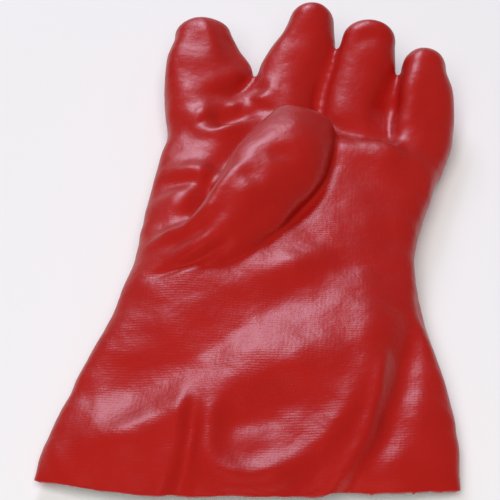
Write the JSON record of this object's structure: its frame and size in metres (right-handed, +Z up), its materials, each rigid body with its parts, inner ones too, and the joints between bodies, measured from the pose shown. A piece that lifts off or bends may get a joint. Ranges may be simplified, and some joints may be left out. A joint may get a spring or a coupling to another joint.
{
  "type": "oil-resistant gauntlet glove",
  "caption": "Hollow PVC-dipped work glove for the left hand, lying palm up, with a flared cuff and the thumb folded over the palm.",
  "frame": {"origin": "on the floor plane under the middle of the glove's plan", "axes": "+Y from the cuff to the fingers, +X towards the little finger, +Z up from the back of the hand to the palm"},
  "size_m": [0.1632, 0.2877, 0.0419],
  "materials": {
    "pvc_coating": "soft red PVC dipped over knitted cotton, satin gloss with a faint knit print"
  },
  "bodies": {
    "root": {"glove_shell": "pvc_coating"}
  },
  "joints": []
}
